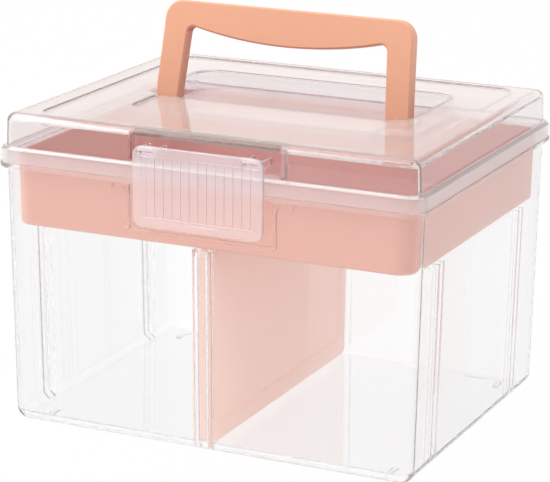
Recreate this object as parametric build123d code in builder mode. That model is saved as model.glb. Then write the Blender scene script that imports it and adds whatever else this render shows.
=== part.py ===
from build123d import *
import os
from math import cos, radians, sin, tan

os.makedirs("parts", exist_ok=True)

# Clear carry case for sorted photos and craft supplies. A drafted tub holds an upright
# divider and a lift-out tray. The lid hangs on pins behind the tub's rim, carries a handle
# that folds into a well, and is held down in front by a latch.
# X runs along the front, Y towards the back, Z up. The origin is under the middle of the
# case, on the surface that the four corner feet stand on. Millimetres and degrees.

# ---- tub ----
rim_length = 260.0
rim_width = 211.0
rim_radius = 10.0
rim_reach = 2.9
rim_underside = 152.6
rim_thickness = 3.0
lip_height = 5.0
tub_wall = 1.8
tub_floor = 1.9
tub_draft = 1.05
tub_base_radius = 8.0
tub_base_fillet = 7.0
foot_height = 1.0

# ---- guide ribs inside the tub, in pairs that make a slot ----
slot_width = 4.8
slot_depth = 4.0
side_slot_spacing = 126.0
side_rib_thickness = 1.6
divider_slot_x = -1.2
divider_rib_thickness = 3.2
seat_height = 118.6
seat_reach = 3.2
seat_nose = 1.4
seat_slope = 5.0

# ---- tray ----
tray_side_gap = 3.2
tray_height = 41.8
tray_radius = 10.0
tray_wall = 1.6
tray_draft = 0.95
tray_base_fillet = 2.0

# ---- divider ----
divider_thickness = 4.2
divider_web = 1.8
divider_border = 11.0
divider_corner = 8.0
divider_panel_corner = 8.0
divider_clearance = 0.5
divider_headroom = 0.6

# ---- lid ----
skirt_inset = 0.6
skirt_wall = 1.6
skirt_edge = 1.6
skirt_height = 9.3
crown_inset = 3.4
crown_height = 18.7
crown_draft = 1.8
crown_edge_fillet = 4.8
lid_wall = 1.8
panel_length = 219.0
panel_width = 183.0
panel_radius = 9.0
panel_depth = 1.0
thumb_length = 150.0
thumb_front = 50.0
thumb_depth = 1.4
well_side_gap = 1.8
well_front = 9.5
well_back = 64.7
well_depth = 11.7
well_radius = 12.0
well_front_radius = 6.0

# ---- handle ----
handle_tilt = 11.0
handle_thickness = 8.2
handle_rise = 58.0
handle_base_length = 162.2
handle_top_length = 155.8
handle_corner = 11.0
leg_width = 15.0
leg_tail = 4.6
grip_depth = 14.0
grip_belly = 7.9
handle_edge = 1.0
pivot_height = 177.8
pivot_radius = 2.5
pivot_overrun = 1.4
pivot_clearance = 0.08

# ---- latches ----
latch_length = 79.0
latch_bottom = 130.2
latch_top = 175.9
latch_corner = 5.5
latch_gap = 0.8
latch_plate = 1.6
latch_raise = 0.8
latch_side_bar = 6.0
latch_top_bar = 5.5
latch_tab = 6.0
grip_rib_count = 13
grip_rib_pitch = 5.3
grip_rib_width = 1.3
grip_rib_raise = 0.55
window_length = 9.2
window_height = 2.4
window_pocket_length = 10.2
window_pocket_height = 3.6
hinge_height = 172.0
hinge_setback = 2.9
hinge_spacing = 64.0
hinge_pin_radius = 1.3
hinge_clearance = 0.08
clip_length = 8.0
clip_wall = 1.25
clip_mouth = 2.2
ear_thickness = 1.5
ear_gap = 0.35
ear_radius = 2.0
bay_length = 90.0
bay_depth = 8.6
bay_roof = 3.9
bay_corner = 1.5
bay_edge_round = 2.9
bead_length = 60.0
bead_height = 2.2
catch_length = 66.0
catch_height = 4.4
catch_gap = 0.4
snap_clearance = 0.15

# ---- rear hinge, hooks on the lid over pins on the tub ----
rear_spacing = 120.0
rear_reach = 3.1
hook_length = 10.0

# ---- latch guard and braces on the tub ----
guard_length = 91.0
guard_bottom = 125.8
guard_wall = 1.5
guard_flare = 8.0
brace_spacing = 110.0
brace_thickness = 1.4
brace_drop = 7.5

# ---- stacking feet ----
foot_clearance = 1.0
foot_width = 2.4
foot_arm_x = 24.0
foot_arm_y = 14.0

# Places that follow from the sizes above.
tub_slope = tan(radians(tub_draft))
tub_run = 2 * tub_slope * (rim_underside - foot_height)
wall_length = rim_length - 2 * rim_reach
wall_width = rim_width - 2 * rim_reach
base_length = wall_length - tub_run
base_width = wall_width - tub_run
rim_top = rim_underside + rim_thickness
lip_top = rim_top + lip_height
floor_top = foot_height + tub_floor
skirt_length = rim_length - 2 * skirt_inset
skirt_width = rim_width - 2 * skirt_inset
skirt_radius = rim_radius - skirt_inset
ledge_top = rim_top + skirt_height
crown_length = skirt_length - 2 * crown_inset
crown_width = skirt_width - 2 * crown_inset
crown_radius = skirt_radius - crown_inset
lid_top = ledge_top + crown_height
panel_top = lid_top - panel_depth
well_floor = panel_top - well_depth
hinge_y = rim_width / 2 + latch_gap - hinge_setback
latch_inner_y = rim_width / 2 + latch_gap
latch_face_y = latch_inner_y + latch_plate
catch_nose_y = latch_inner_y - bead_height / 4 - snap_clearance
catch_underside = latch_bottom + latch_tab - catch_gap
well_length = handle_base_length + 2 * well_side_gap
pivot_reach = well_side_gap + lid_wall + pivot_overrun
bay_back_y = crown_width / 2 - bay_depth
bay_top = lid_top - bay_roof
rear_y = rim_width / 2 + rear_reach
bore_radius = hinge_pin_radius + hinge_clearance
clip_radius = bore_radius + clip_wall


def wall_half(full_size, height):
    """Half the outside size of the drafted tub wall at a height above the floor."""
    return full_size / 2 - tub_slope * (rim_underside - height)


def rib_outline(full_size):
    """Side view of one guide rib: from the floor up the wall, with a seat for the tray."""
    inside = tub_wall + slot_depth
    seat_start = seat_height - seat_slope
    middle_radius = tub_base_fillet - tub_wall / 2
    bend = wall_half(full_size, foot_height) - tub_base_fillet + middle_radius * sin(radians(45))
    bend_height = foot_height + tub_base_fillet - middle_radius * cos(radians(45))
    tip_low = wall_half(full_size, floor_top) - inside
    tip_high = wall_half(full_size, seat_start) - inside
    nose = wall_half(full_size, seat_height) - inside - seat_reach
    back_low = wall_half(full_size, foot_height + tub_base_fillet) - tub_wall / 2
    back_high = wall_half(full_size, seat_height) - tub_wall / 2
    return [
        (tip_low, floor_top - tub_floor / 2),
        (bend, bend_height),
        (back_low, foot_height + tub_base_fillet),
        (back_high, seat_height),
        (nose, seat_height),
        (nose, seat_height - seat_nose),
        (tip_high, seat_start),
    ]


# The tub: drafted walls, a rim that the lid's skirt closes on, slots for dividers.
with BuildPart() as tub_space:
    with BuildSketch(Plane.XY.offset(floor_top)):
        RectangleRounded(
            base_length - 2 * tub_wall + 2 * tub_slope * tub_floor,
            base_width - 2 * tub_wall + 2 * tub_slope * tub_floor,
            tub_base_radius - tub_wall,
        )
    extrude(amount=lip_top - floor_top + 1, taper=-tub_draft)
    chamfer(tub_space.edges().group_by(Axis.Z)[0], tub_base_fillet - 1.5 * tub_wall)

with BuildPart() as tub:
    with BuildSketch(Plane.XY.offset(foot_height)):
        RectangleRounded(base_length, base_width, tub_base_radius)
    extrude(amount=lip_top - foot_height, taper=-tub_draft)
    fillet(tub.edges().group_by(Axis.Z)[0], tub_base_fillet)

    with BuildSketch(Plane.XY.offset(rim_underside)):
        RectangleRounded(rim_length, rim_width, rim_radius)
    extrude(amount=rim_thickness)
    rim_low_edges = tub.edges().filter_by_position(Axis.Z, rim_underside, rim_underside)
    rim_outer = rim_low_edges.filter_by(lambda e: max(
        abs(e.center().X) / rim_length, abs(e.center().Y) / rim_width) > 0.499)
    chamfer(rim_outer, rim_thickness / 3)

    # Guard that frames the latch, flaring into the rim.
    with BuildSketch(Plane.XZ.offset(rim_width / 2 - rim_thickness / 6)):
        guard_height = rim_underside - guard_bottom
        with Locations((0, guard_bottom + guard_height / 2)):
            Rectangle(guard_length + 2 * guard_flare, guard_height)
        for side in (-1, 1):
            with Locations((side * (guard_length / 2 + guard_flare), rim_underside - guard_flare)):
                Circle(guard_flare, mode=Mode.SUBTRACT)
            with Locations((side * (guard_length / 2 + guard_flare), guard_bottom)):
                Rectangle(2 * guard_flare, 2 * (guard_height - guard_flare), mode=Mode.SUBTRACT)
        with Locations((0, guard_bottom + guard_height / 2 + guard_wall)):
            Rectangle(guard_length - 2 * guard_wall, guard_height, mode=Mode.SUBTRACT)
    extrude(amount=-(rim_reach + tub_wall / 2 - rim_thickness / 6))

    # Catch that the latch closes under.
    with BuildSketch(Plane.YZ):
        with BuildLine():
            wall_y = wall_half(wall_width, catch_underside) - tub_wall / 2
            Polyline(
                (-wall_y, catch_underside),
                (-catch_nose_y, catch_underside),
                (-catch_nose_y, catch_underside + catch_height / 4),
                (-wall_y, catch_underside + catch_height),
                close=True,
            )
        make_face()
    extrude(amount=catch_length / 2, both=True)

    # Small braces under the rim, beside the guard and behind.
    for side in (-1, 1):
        with BuildSketch(Plane.YZ.offset(side * brace_spacing / 2)):
            with BuildLine():
                brace_y = wall_half(wall_width, rim_underside) - tub_wall / 2
                Polyline(
                    (-brace_y, rim_underside),
                    (-rim_width / 2 + rim_thickness / 3, rim_underside),
                    (-rim_width / 2 + rim_thickness / 3, rim_underside - brace_drop / 3),
                    (-brace_y, rim_underside - brace_drop),
                    close=True,
                )
            make_face()
        braces = extrude(amount=brace_thickness / 2, both=True)
        mirror(braces, about=Plane.XZ)

    # Ears and pins behind the rim, for the lid's hooks.
    for pin_x in (-rear_spacing / 2, rear_spacing / 2):
        for ear_side in (-1, 1):
            ear_x = pin_x + ear_side * (hook_length + ear_thickness + 2 * ear_gap) / 2
            with BuildSketch(Plane.YZ.offset(ear_x)):
                with Locations((rear_y, rim_top)):
                    ear = Rectangle(2 * ear_radius, 2 * ear_radius)
                chamfer(ear.vertices(), ear_radius * 0.5)
                with Locations((rear_y - rear_reach / 2, rim_underside + rim_thickness / 2)):
                    Rectangle(rear_reach + rim_thickness, rim_thickness)
            extrude(amount=ear_thickness / 2, both=True)
        with BuildSketch(Plane.YZ.offset(pin_x)):
            with Locations((rear_y, rim_top)):
                Circle(hinge_pin_radius)
        extrude(amount=hook_length / 2 + ear_gap + ear_thickness / 2, both=True)

    add(tub_space.part, mode=Mode.SUBTRACT)

    # Guide ribs: two slots on each end wall, one slot on the front and back walls.
    side_rib_offset = (slot_width + side_rib_thickness) / 2
    for slot_y in (-side_slot_spacing / 2, side_slot_spacing / 2):
        for rib_side in (-1, 1):
            with BuildSketch(Plane.XZ.offset(slot_y + rib_side * side_rib_offset)):
                with BuildLine():
                    Polyline(rib_outline(wall_length), close=True)
                make_face()
            ribs = extrude(amount=side_rib_thickness / 2, both=True)
            mirror(ribs, about=Plane.YZ)
    divider_rib_offset = (slot_width + divider_rib_thickness) / 2
    for rib_side in (-1, 1):
        with BuildSketch(Plane.YZ.offset(divider_slot_x + rib_side * divider_rib_offset)):
            with BuildLine():
                Polyline(rib_outline(wall_width), close=True)
            make_face()
        ribs = extrude(amount=divider_rib_thickness / 2, both=True)
        mirror(ribs, about=Plane.XZ)

    # L-shaped feet that drop inside the border of the lid of a case below.
    with BuildSketch():
        foot_length_x = panel_length - 2 * foot_clearance
        foot_length_y = panel_width - 2 * foot_clearance
        RectangleRounded(foot_length_x, foot_length_y, panel_radius - foot_clearance)
        offset(amount=-foot_width, mode=Mode.SUBTRACT)
        Rectangle(foot_length_x - 2 * foot_arm_x, foot_length_y, mode=Mode.SUBTRACT)
        Rectangle(foot_length_x, foot_length_y - 2 * foot_arm_y, mode=Mode.SUBTRACT)
    extrude(amount=foot_height + tub_floor / 2)
tub.part.label = "tub"
export_step(tub.part, "parts/tub.step")


# The lift-out tray rests on the tops of the guide ribs.
tray_slope = tan(radians(tray_draft))
tray_length = 2 * (wall_half(wall_length, seat_height) - tub_wall - tray_side_gap)
tray_width = 2 * (wall_half(wall_width, seat_height) - tub_wall - tray_side_gap)
with BuildPart() as tray_space:
    with BuildSketch(Plane.XY.offset(seat_height + tray_wall)):
        RectangleRounded(
            tray_length - 2 * tray_wall + 2 * tray_slope * tray_wall,
            tray_width - 2 * tray_wall + 2 * tray_slope * tray_wall,
            tray_radius - tray_wall,
        )
    extrude(amount=tray_height, taper=-tray_draft)

with BuildPart() as tray:
    with BuildSketch(Plane.XY.offset(seat_height)):
        RectangleRounded(tray_length, tray_width, tray_radius)
    extrude(amount=tray_height, taper=-tray_draft)
    fillet(tray.edges().group_by(Axis.Z)[0], tray_base_fillet)
    add(tray_space.part, mode=Mode.SUBTRACT)
tray.part.label = "tray"
export_step(tray.part, "parts/tray.step")


# The divider: a thin web in a thicker border, cut to the draft of the walls.
divider_top = seat_height - divider_headroom
with BuildPart() as lower_divider:
    with BuildSketch(Plane.YZ.offset(divider_slot_x)) as divider_outline:
        with BuildLine():
            low_y = wall_half(wall_width, floor_top) - tub_wall - divider_clearance
            high_y = wall_half(wall_width, divider_top) - tub_wall - divider_clearance
            Polyline(
                (-low_y, floor_top),
                (low_y, floor_top),
                (high_y, divider_top),
                (-high_y, divider_top),
                close=True,
            )
        make_face()
        fillet(divider_outline.vertices().group_by(Axis.Y)[0], divider_corner)
        fillet(divider_outline.vertices().group_by(Axis.Y)[-1], divider_corner / 2)
    extrude(amount=divider_thickness / 2, both=True)
    for side in (-1, 1):
        web_face = divider_slot_x + side * divider_web / 2
        with BuildSketch(Plane.YZ.offset(web_face)):
            with BuildLine():
                inner_low_y = low_y - divider_border
                inner_high_y = high_y - divider_border
                panel_outline = Polyline(
                    (-inner_low_y, floor_top + divider_border),
                    (inner_low_y, floor_top + divider_border),
                    (inner_high_y, divider_top - divider_border),
                    (-inner_high_y, divider_top - divider_border),
                    close=True,
                )
            make_face()
            fillet(vertices(), divider_panel_corner)
        extrude(amount=side * divider_thickness, mode=Mode.SUBTRACT)
lower_divider.part.label = "lower_divider"
export_step(lower_divider.part, "parts/lower_divider.step")


# The room under the lid, which goes round the handle well and the latch bay.
with BuildPart() as lid_space:
    with BuildSketch(Plane.XY.offset(rim_top - 1)):
        RectangleRounded(
            skirt_length - 2 * skirt_wall, skirt_width - 2 * skirt_wall, skirt_radius - skirt_wall
        )
    extrude(amount=skirt_height + 1 - lid_wall)
    with BuildSketch(Plane.XY.offset(rim_top)):
        RectangleRounded(
            crown_length - 2 * lid_wall, crown_width - 2 * lid_wall, crown_radius - lid_wall
        )
    extrude(amount=lid_top - lid_wall - rim_top, taper=crown_draft)
    chamfer(lid_space.edges().group_by(Axis.Z)[-1], crown_edge_fillet - lid_wall)
    with BuildSketch(Plane.XY.offset(panel_top - lid_wall)):
        RectangleRounded(
            panel_length + lid_wall, panel_width + lid_wall, panel_radius + lid_wall / 2
        )
    extrude(amount=lid_top, mode=Mode.SUBTRACT)
    with BuildSketch(Plane.XY.offset(well_floor - lid_wall)) as well_shell:
        with Locations((0, (well_back - well_front) / 2)):
            Rectangle(well_length + 2 * lid_wall, well_back + well_front + 2 * lid_wall)
        fillet(well_shell.vertices().group_by(Axis.Y)[0], well_front_radius + lid_wall)
        fillet(well_shell.vertices().group_by(Axis.Y)[-1], well_radius + lid_wall)
    extrude(amount=lid_top, mode=Mode.SUBTRACT)
    with BuildSketch(Plane.XY.offset(panel_top - thumb_depth - lid_wall)):
        with Locations((0, -thumb_front / 2)):
            RectangleRounded(
                thumb_length + 2 * lid_wall, thumb_front + 2 * lid_wall, panel_radius + lid_wall
            )
    extrude(amount=lid_top, mode=Mode.SUBTRACT)
    with BuildSketch(Plane.XY.offset(ledge_top - lid_wall)):
        with Locations((0, lid_wall - bay_back_y - bay_depth)):
            Rectangle(bay_length + 2 * lid_wall, 2 * bay_depth)
    extrude(amount=lid_top, mode=Mode.SUBTRACT)

with BuildPart() as lid:
    with BuildSketch(Plane.XY.offset(rim_top)):
        RectangleRounded(skirt_length, skirt_width, skirt_radius)
    extrude(amount=skirt_height)
    chamfer(lid.edges().group_by(Axis.Z)[-1], skirt_edge)
    with BuildSketch(Plane.XY.offset(ledge_top)):
        RectangleRounded(crown_length, crown_width, crown_radius)
    extrude(amount=crown_height, taper=crown_draft)
    fillet(lid.edges().group_by(Axis.Z)[-1], crown_edge_fillet)

    # Stacking border, thumb area and handle well, each cut into the top.
    with BuildSketch(Plane.XY.offset(panel_top)):
        RectangleRounded(panel_length, panel_width, panel_radius)
    extrude(amount=panel_depth, mode=Mode.SUBTRACT)
    with BuildSketch(Plane.XY.offset(panel_top - thumb_depth)):
        with Locations((0, -thumb_front / 2)):
            RectangleRounded(thumb_length, thumb_front, panel_radius)
    extrude(amount=thumb_depth, mode=Mode.SUBTRACT)
    with BuildSketch(Plane.XY.offset(well_floor)) as well_outline:
        with Locations((0, (well_back - well_front) / 2)):
            Rectangle(well_length, well_back + well_front)
        fillet(well_outline.vertices().group_by(Axis.Y)[0], well_front_radius)
        fillet(well_outline.vertices().group_by(Axis.Y)[-1], well_radius)
    extrude(amount=well_depth, mode=Mode.SUBTRACT)

    # Latch bay in the front wall, with its upright edges rounded.
    with BuildSketch(Plane.XY.offset(ledge_top)):
        edge_y = bay_edge_round - crown_width / 2
        with Locations((0, edge_y - bay_depth)):
            Rectangle(bay_length + 2 * bay_edge_round, 2 * bay_depth)
        with Locations((bay_length / 2 + bay_edge_round, edge_y)):
            Circle(bay_edge_round, mode=Mode.SUBTRACT)
        with Locations((-bay_length / 2 - bay_edge_round, edge_y)):
            Circle(bay_edge_round, mode=Mode.SUBTRACT)
        with Locations((0, -bay_back_y - bay_depth)):
            RectangleRounded(bay_length, 2 * bay_depth, bay_corner)
    extrude(amount=bay_top - ledge_top, mode=Mode.SUBTRACT)
    add(lid_space.part, mode=Mode.SUBTRACT)

    # Bores for the handle's pivots, through the end walls of the well.
    with BuildSketch(Plane.YZ.offset(well_length / 2 - lid_wall)):
        with Locations((0, pivot_height)):
            Circle(pivot_radius + pivot_clearance)
    pivot_bore = extrude(amount=3 * lid_wall, mode=Mode.SUBTRACT)
    with BuildSketch(Plane.YZ.offset(-well_length / 2 + lid_wall)):
        with Locations((0, pivot_height)):
            Circle(pivot_radius + pivot_clearance)
    extrude(amount=-3 * lid_wall, mode=Mode.SUBTRACT)

    # Ears that reach out of the bay, with the pins that the latch turns on.
    for hinge_x in (-hinge_spacing / 2, hinge_spacing / 2):
        for ear_side in (-1, 1):
            ear_x = hinge_x + ear_side * (clip_length + ear_thickness + 2 * ear_gap) / 2
            with BuildSketch(Plane.YZ.offset(ear_x)):
                ear_root = bay_back_y - lid_wall / 2
                ear_tip = hinge_y + ear_radius
                with Locations((-(ear_root + ear_tip) / 2, hinge_height)):
                    ear = Rectangle(ear_tip - ear_root, 2 * ear_radius)
                chamfer(ear.vertices().group_by(Axis.X)[0], ear_radius * 0.6)
            extrude(amount=ear_thickness / 2, both=True)
        with BuildSketch(Plane.YZ.offset(hinge_x)):
            with Locations((-hinge_y, hinge_height)):
                Circle(hinge_pin_radius)
        extrude(amount=clip_length / 2 + ear_gap + ear_thickness / 2, both=True)

    # Hooks behind the skirt that hang over the tub's pins.
    for pin_x in (-rear_spacing / 2, rear_spacing / 2):
        with BuildSketch(Plane.YZ.offset(pin_x)):
            with Locations((rear_y, rim_top)):
                Circle(clip_radius)
            arm_root = skirt_width / 2 - skirt_wall / 2
            with Locations(((arm_root + rear_y) / 2, rim_top + clip_radius - clip_wall / 2)):
                Rectangle(rear_y - arm_root, clip_wall)
            with Locations((rear_y, rim_top)):
                Circle(bore_radius, mode=Mode.SUBTRACT)
            with Locations((rear_y, rim_top - clip_radius / 2)):
                Rectangle(2 * bore_radius, clip_radius, mode=Mode.SUBTRACT)
            with Locations((rear_y, rim_top - 1.4 * clip_radius)):
                Rectangle(2 * clip_radius, clip_radius, mode=Mode.SUBTRACT)
        extrude(amount=hook_length / 2, both=True)
lid.part.label = "lid"
export_step(lid.part, "parts/lid.step")


# The handle: one moulded bow, drawn in the plane that it leans back in.
lean = radians(handle_tilt)
handle_plane = Plane(
    origin=(0, 0, pivot_height), x_dir=(1, 0, 0), z_dir=(0, -cos(lean), sin(lean))
)
with BuildPart() as handle:
    with BuildSketch(handle_plane) as bow:
        with BuildLine():
            outer_top = (handle_top_length / 2, handle_rise)
            outer_base = (handle_base_length / 2, -leg_tail)
            inner_base = (handle_base_length / 2 - leg_width, -leg_tail)
            inner_top = (handle_top_length / 2 - leg_width, handle_rise - grip_depth)
            Line(outer_top, outer_base)
            Line(outer_base, inner_base)
            Line(inner_base, inner_top)
            belly = (0, handle_rise - grip_depth - grip_belly)
            ThreePointArc(inner_top, belly, (-inner_top[0], inner_top[1]))
            Line((-inner_top[0], inner_top[1]), (-inner_base[0], inner_base[1]))
            Line((-inner_base[0], inner_base[1]), (-outer_base[0], outer_base[1]))
            Line((-outer_base[0], outer_base[1]), (-outer_top[0], outer_top[1]))
            Line((-outer_top[0], outer_top[1]), outer_top)
        make_face()
        top_corners = bow.vertices().group_by(Axis.Y)[-1].sort_by(Axis.X)
        fillet([top_corners[0], top_corners[-1]], handle_corner)
        inner_corners = bow.vertices().filter_by(
            lambda v: abs(abs(v.X) - inner_top[0]) < 0.01)
        fillet(inner_corners, leg_width / 4)
        tail_corners = bow.vertices().group_by(Axis.Y)[0]
        chamfer(tail_corners, leg_tail * 0.5)
    extrude(amount=handle_thickness / 2, both=True)
    broad_faces = handle.faces().sort_by(SortBy.AREA)[-2:]
    long_edges = broad_faces.edges().filter_by(lambda e: e.center().Z > pivot_height)
    chamfer(long_edges, handle_edge)
    with BuildSketch(Plane.YZ.offset(handle_base_length / 2 - leg_width / 2)):
        with Locations((0, pivot_height)):
            Circle(pivot_radius)
    extrude(amount=leg_width / 2 + pivot_reach)
    with BuildSketch(Plane.YZ.offset(-handle_base_length / 2 + leg_width / 2)):
        with Locations((0, pivot_height)):
            Circle(pivot_radius)
    extrude(amount=-leg_width / 2 - pivot_reach)
handle.part.label = "handle"
export_step(handle.part, "parts/handle.step")


# The latch: a ribbed plate that clips on the lid's pins and closes under the tub's catch.
with BuildPart() as front_latch:
    with BuildSketch(Plane.XZ.offset(latch_inner_y)):
        with Locations((0, (latch_bottom + latch_top) / 2)):
            RectangleRounded(latch_length, latch_top - latch_bottom, latch_corner)
    extrude(amount=latch_plate + latch_raise)
    with BuildSketch(Plane.XZ.offset(latch_face_y)):
        field_bottom = latch_bottom + latch_tab
        field_top = latch_top - latch_top_bar
        with Locations((0, (field_bottom + field_top) / 2)):
            Rectangle(latch_length - 2 * latch_side_bar, field_top - field_bottom)
    extrude(amount=latch_raise, mode=Mode.SUBTRACT)
    face_edges = front_latch.faces().sort_by(Axis.Y)[0].edges()
    chamfer(face_edges, latch_raise * 0.6)
    with BuildSketch(Plane.XZ.offset(latch_face_y)):
        with Locations((0, (field_bottom + field_top) / 2)):
            with GridLocations(grip_rib_pitch, 1, grip_rib_count, 1):
                Rectangle(grip_rib_width, field_top - field_bottom)
    extrude(amount=grip_rib_raise)

    # Bead that closes under the catch.
    with BuildSketch(Plane.YZ):
        bead_z = catch_underside - catch_gap - bead_height / 2
        with Locations((-latch_inner_y, bead_z)):
            Trapezoid(bead_height, bead_height / 2, 60, rotation=-90)
    extrude(amount=bead_length / 2, both=True)

    # Clips round the hinge pins, each open towards the case, with a window in front.
    for hinge_x in (-hinge_spacing / 2, hinge_spacing / 2):
        with BuildSketch(Plane.YZ.offset(hinge_x)):
            with Locations((-hinge_y, hinge_height)):
                Circle(clip_radius)
            with Locations((-hinge_y - hinge_setback / 2, hinge_height)):
                Rectangle(hinge_setback, 2 * clip_radius)
        extrude(amount=clip_length / 2, both=True)
        with BuildSketch(Plane.YZ.offset(hinge_x)):
            with Locations((-hinge_y, hinge_height)):
                Circle(bore_radius)
            with Locations((-hinge_y + clip_radius / 2, hinge_height)):
                Rectangle(clip_radius, clip_mouth)
        extrude(amount=clip_length / 2, both=True, mode=Mode.SUBTRACT)
        with BuildSketch(Plane.XZ.offset(hinge_y)):
            with Locations((hinge_x, hinge_height)):
                Rectangle(window_length, window_height)
        extrude(amount=hinge_setback + latch_plate + latch_raise, mode=Mode.SUBTRACT)
        with BuildSketch(Plane.XZ.offset(latch_face_y)):
            with Locations((hinge_x, hinge_height + (window_pocket_height - window_height) / 2)):
                Rectangle(window_pocket_length, window_pocket_height)
        extrude(amount=latch_raise, mode=Mode.SUBTRACT)
front_latch.part.label = "front_latch"
export_step(front_latch.part, "parts/front_latch.step")
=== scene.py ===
"""Looks for the photo keeper case: moulded plastic materials, soft studio light and camera.

Metres, +X along the front, +Y to the back, +Z up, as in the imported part.
"""

from math import cos, radians, sin

import bpy
from mathutils import Matrix, Vector

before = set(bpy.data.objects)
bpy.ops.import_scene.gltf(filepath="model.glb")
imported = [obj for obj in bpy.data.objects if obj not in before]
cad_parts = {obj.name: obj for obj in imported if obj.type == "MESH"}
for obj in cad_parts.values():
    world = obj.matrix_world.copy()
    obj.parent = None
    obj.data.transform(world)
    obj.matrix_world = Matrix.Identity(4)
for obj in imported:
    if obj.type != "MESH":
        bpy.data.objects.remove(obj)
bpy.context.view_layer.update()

# Camera, as worked out from the case's own corners.
CAMERA_PLACE = Vector((0.58613, -1.25738, 0.49016))
CAMERA_YAW = radians(-25.128)
CAMERA_PITCH = radians(15.74)
CAMERA_ROLL = radians(0.48)
CAMERA_REACH = 50
SENSOR_WIDTH = 36.0
IMAGE_WIDTH = 550
FOCAL_PIXELS = 2456.6

# Where the haze of the clear pieces changes: under the tub's rim and at the lid's ledge.
RIM_HEIGHT = 0.1526
LEDGE_HEIGHT = 0.1649
STEP_BLEND = 0.0006

# Clear plastic.
SHEER = 0.08  # share that goes straight through, unbent
EDGE_START = 0.68  # slant from which a wall gets a painted grey shade
MILK_THROUGH = 0.15  # share of the haze that is lit from behind
WAVE_SCALE = 9.0
WAVE_STRETCH = (1, 1, 0.4)
WAVE_DEPTH = 0.00004
POLISH_SCALE = 160.0
POLISH_TINT = 0.02
TOP_SLOPE = (0.6, 0.95)  # how level a face is where the haze of the top starts and is full

# Opaque plastic.
SOLID_IOR = 1.49
CLOUD_SCALE = 14.0
CLOUD_SHADE = 0.93
GRAIN_SCALE = 900.0

# Colours, linear.
TUB_TINT = (1.0, 0.998, 0.999, 1)
LID_TINT = (0.992, 0.984, 0.982, 1)
LID_SHADE = (0.78, 0.75, 0.83, 1)
LATCH_TINT = (0.995, 0.975, 0.975, 1)
# Painted shade: the grey that walls seen edge-on are blended towards.
EDGE_PAINTED_SHADE = (0.40, 0.40, 0.47, 1)
HAZE = (1.0, 0.885, 0.83, 1)
LATCH_HAZE = (1.0, 0.93, 0.96, 1)
PEACH = (0.92, 0.455, 0.285, 1)
PINK = (0.96, 0.61, 0.51, 1)
DIVIDER_PINK = (0.99, 0.85, 0.80, 1)
PALE = (0.93, 0.92, 0.92, 1)
WHITE = (1, 1, 1, 1)

# Stage.
FLOOR_SIZE = 14
FLOOR_GAP = 0.0002
FLOOR_WHITENESS = 0.97
LAMP_AIM = (0, 0, 0.1)
SKY_SPREAD = 0.8  # direction along X at which the sky's change ends
SKY_LEFT = 1.0
SKY_RIGHT = 0.62
LIGHT_BOUNCES = 24


# ---- node helpers ----

def darker(colour, share):
    return tuple(channel * share for channel in colour[:3]) + (1,)


class Nodes:
    """A short way to add and join the nodes of a material or the world."""

    def __init__(self, owner):
        owner.use_nodes = True
        self.tree = owner.node_tree
        self.tree.nodes.clear()

    def feed(self, socket, value):
        """Link another node's output to a socket, or set a constant on it."""
        if hasattr(value, "is_linked"):
            self.tree.links.new(value, socket)
        else:
            socket.default_value = value

    def add(self, kind, settings=None, **inputs):
        node = self.tree.nodes.new("ShaderNode" + kind)
        for key, value in (settings or {}).items():
            setattr(node, key, value)
        for key, value in inputs.items():
            self.feed(node.inputs[key.replace("_", " ")], value)
        return node

    def noise(self, scale, detail, stretch=(1, 1, 1)):
        place = self.add("TexCoord").outputs["Object"]
        mapped = self.add("Mapping", Vector=place, Scale=stretch).outputs["Vector"]
        return self.add("TexNoise", Vector=mapped, Scale=scale, Detail=detail).outputs["Fac"]

    def ramp(self, value, start, end, low=0.0, high=1.0):
        node = self.add(
            "MapRange", Value=value, From_Min=start, From_Max=end, To_Min=low, To_Max=high)
        return node.outputs["Result"]

    def coordinate(self, vector, axis):
        return self.add("SeparateXYZ", Vector=vector).outputs[axis]

    def math(self, operation, *values):
        node = self.add("Math", {"operation": operation})
        for socket, value in zip(node.inputs, values):
            self.feed(socket, value)
        return node.outputs[0]

    def blend(self, factor, first, second):
        """Mix two colours."""
        node = self.add("Mix", {"data_type": "RGBA"}, Factor=factor)
        sockets = [socket for socket in node.inputs if socket.type == "RGBA"]
        for socket, colour in zip(sockets, (first, second)):
            socket.default_value = colour
        return [socket for socket in node.outputs if socket.type == "RGBA"][0]

    def mix(self, factor, first, second):
        """Mix two shaders."""
        node = self.add("MixShader", Fac=factor)
        self.feed(node.inputs[1], first.outputs[0])
        self.feed(node.inputs[2], second.outputs[0])
        return node

    def bump(self, height, distance, normal=None):
        node = self.add("Bump", Height=height, Distance=distance)
        if normal:
            self.feed(node.inputs["Normal"], normal)
        return node.outputs["Normal"]

    def seen(self):
        """1 for the rays that see the pale studio: from the camera, through glass and mirrored."""
        path = self.add("LightPath").outputs
        direct = self.math("MAXIMUM", path["Is Camera Ray"], path["Is Transmission Ray"])
        return self.math("MAXIMUM", direct, path["Is Glossy Ray"])

    def finish(self, shader):
        self.add("OutputMaterial", Surface=shader.outputs[0])


# ---- plastics ----

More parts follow.
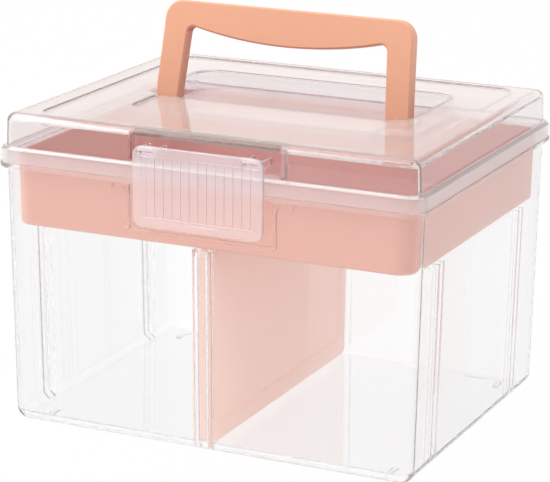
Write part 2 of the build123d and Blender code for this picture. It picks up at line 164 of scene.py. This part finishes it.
def clear_plastic(
        name, tint, shade, ior, haze, roughness, haze_below, haze_above, step,
        haze_top=0.0, soft_edge=0.0):
    """Clear moulded plastic with a milky haze, whose share changes at a height, the step.

    haze_top is the extra share on the faces that look up when the case is closed.
    Walls that are seen edge-on are greyer: a painted shade that stands in for the dark edges of
    thick clear plastic.
    Light reaches what is inside through a plain pane of the shade's colour.
    """
    material = bpy.data.materials.new(name)
    n = Nodes(material)
    softened = None
    if soft_edge:
        softened = n.add("Bevel", {"samples": 4}, Radius=soft_edge).outputs["Normal"]
    waves = n.noise(WAVE_SCALE, 1.0, WAVE_STRETCH)
    polish = n.noise(POLISH_SCALE, 3.0)
    upward = n.coordinate(n.add("TexCoord").outputs["Normal"], "Z")
    wall = n.math("SUBTRACT", 1.0, n.math("ABSOLUTE", upward))
    # Painted shade: walls seen edge-on blend towards a grey. A faint random tone from the polish
    # noise is added to it.
    slant = n.ramp(n.add("LayerWeight").outputs["Facing"], EDGE_START, 1.0)
    edge = n.math("ADD", n.math("MULTIPLY", slant, wall), n.ramp(polish, 0, 1, 0, POLISH_TINT))
    tint_and_painted_edge_shade = n.blend(edge, tint, EDGE_PAINTED_SHADE)
    shell = n.add(
        "BsdfPrincipled",
        Base_Color=tint_and_painted_edge_shade,
        Roughness=n.ramp(polish, 0, 1, roughness * 0.6, roughness * 1.5),
        Normal=n.bump(waves, WAVE_DEPTH, softened),
        IOR=ior,
        Transmission_Weight=1.0,
    )
    clear = n.mix(SHEER, shell, n.add("BsdfTransparent", Color=tint_and_painted_edge_shade))
    milk = n.mix(
        MILK_THROUGH, n.add("BsdfDiffuse", Color=haze), n.add("BsdfTranslucent", Color=haze))
    height = n.coordinate(n.add("TexCoord").outputs["Object"], "Z")
    cloud = n.ramp(height, step - STEP_BLEND, step, haze_below, haze_above)
    share = n.math("ADD", cloud, n.ramp(upward, *TOP_SLOPE, 0.0, haze_top))
    outside = n.math("SUBTRACT", 1.0, n.add("NewGeometry").outputs["Backfacing"])
    body = n.mix(n.math("MULTIPLY", share, outside), clear, milk)
    pane = n.add("BsdfTransparent", Color=shade)
    path = n.add("LightPath").outputs
    passing = n.math("MAXIMUM", path["Is Shadow Ray"], path["Is Diffuse Ray"])
    n.finish(n.mix(passing, body, pane))
    return material


def solid_plastic(name, colour, roughness, grain_depth, glow=0.0):
    """Moulded plastic with a fine grain; glow is the share of light that shines through."""
    material = bpy.data.materials.new(name)
    n = Nodes(material)
    cloud = n.noise(CLOUD_SCALE, 2.0)
    grain = n.noise(GRAIN_SCALE, 2.0)
    body = n.add(
        "BsdfPrincipled",
        Base_Color=n.blend(n.ramp(cloud, 0, 1), colour, darker(colour, CLOUD_SHADE)),
        Roughness=n.ramp(cloud, 0, 1, roughness * 0.85, roughness * 1.2),
        Normal=n.bump(grain, grain_depth),
        IOR=SOLID_IOR,
    )
    if glow:
        body = n.mix(glow, body, n.add("BsdfTranslucent", Color=colour))
    n.finish(body)
    return material


def dress(node, material):
    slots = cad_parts[node].data.materials
    slots.clear()
    slots.append(material)


dress("tub", clear_plastic(
    "clear_tub", TUB_TINT, TUB_TINT, ior=1.33, haze=HAZE, roughness=0.03,
    haze_below=0.004, haze_above=0.2, step=RIM_HEIGHT, soft_edge=0.0015))
dress("lid", clear_plastic(
    "clear_lid", LID_TINT, LID_SHADE, ior=1.47, haze=HAZE, roughness=0.02,
    haze_below=0.3, haze_above=0.10, step=LEDGE_HEIGHT, haze_top=0.22))
dress("front_latch", clear_plastic(
    "clear_latch", LATCH_TINT, LATCH_TINT, ior=1.45, haze=LATCH_HAZE, roughness=0.03,
    haze_below=0.32, haze_above=0.44, step=LEDGE_HEIGHT))
dress("handle", solid_plastic("peach_handle", PEACH, 0.42, 0.00002))
dress("tray", solid_plastic("pink_tray", PINK, 0.25, 0.00001, glow=0.3))
dress("lower_divider", solid_plastic("pink_divider", DIVIDER_PINK, 0.25, 0.00001, glow=0.65))


# ---- stage ----

def floor_material():
    """Pale floor that the camera sees nearly white and that keeps the shadow."""
    material = bpy.data.materials.new("floor")
    n = Nodes(material)
    matte = n.add("BsdfDiffuse", Color=PALE)
    glow = n.add("Emission", Color=WHITE, Strength=1.0)
    n.finish(n.mix(n.math("MULTIPLY", n.seen(), FLOOR_WHITENESS), matte, glow))
    return material


bpy.ops.mesh.primitive_plane_add(size=FLOOR_SIZE, location=(0, 0, -FLOOR_GAP))
floor = bpy.context.object
floor.name = "floor"
floor.data.materials.append(floor_material())


def lamp(name, place, size, watts):
    """A soft box that faces the case."""
    data = bpy.data.lights.new(name, "AREA")
    data.shape = "RECTANGLE"
    data.size, data.size_y = size
    data.energy = watts
    box = bpy.data.objects.new(name, data)
    box.location = place
    box.rotation_euler = (Vector(LAMP_AIM) - Vector(place)).to_track_quat("-Z", "Y").to_euler()
    bpy.context.collection.objects.link(box)


lamp("key", (-1.0, -0.7, 1.5), (1.1, 1.1), 14)
lamp("fill", (1.4, -1.2, 0.9), (1.2, 1.2), 1.5)
lamp("top", (0.1, 0.4, 1.8), (1.6, 1.0), 4)

# White where it is seen; as a light, weaker towards the right.
world = bpy.data.worlds.new("studio")
bpy.context.scene.world = world
sky = Nodes(world)
sideways = sky.coordinate(sky.add("TexCoord").outputs["Generated"], "X")
light = sky.ramp(sideways, -SKY_SPREAD, SKY_SPREAD, SKY_LEFT, SKY_RIGHT)
strength = sky.ramp(sky.seen(), 0.0, 1.0, light, 1.0)
background = sky.add("Background", Color=WHITE, Strength=strength)
sky.add("OutputWorld", Surface=background.outputs[0])


# ---- camera ----

forward = Vector((
    sin(CAMERA_YAW) * cos(CAMERA_PITCH), cos(CAMERA_YAW) * cos(CAMERA_PITCH), -sin(CAMERA_PITCH)
))
level = Vector((cos(CAMERA_YAW), -sin(CAMERA_YAW), 0))
upright = level.cross(forward)
right = level * cos(CAMERA_ROLL) + upright * sin(CAMERA_ROLL)
up = upright * cos(CAMERA_ROLL) - level * sin(CAMERA_ROLL)
turn = Matrix((right, up, -forward)).transposed().to_4x4()

camera_data = bpy.data.cameras.new("camera")
camera_data.sensor_width = SENSOR_WIDTH
camera_data.lens = FOCAL_PIXELS * SENSOR_WIDTH / IMAGE_WIDTH
camera_data.clip_end = CAMERA_REACH
camera = bpy.data.objects.new("camera", camera_data)
camera.matrix_world = Matrix.Translation(CAMERA_PLACE) @ turn
bpy.context.collection.objects.link(camera)

bpy.context.scene.camera = camera

scene = bpy.context.scene
scene.view_settings.view_transform = "Standard"
scene.cycles.max_bounces = LIGHT_BOUNCES
scene.cycles.transmission_bounces = LIGHT_BOUNCES
scene.cycles.transparent_max_bounces = LIGHT_BOUNCES
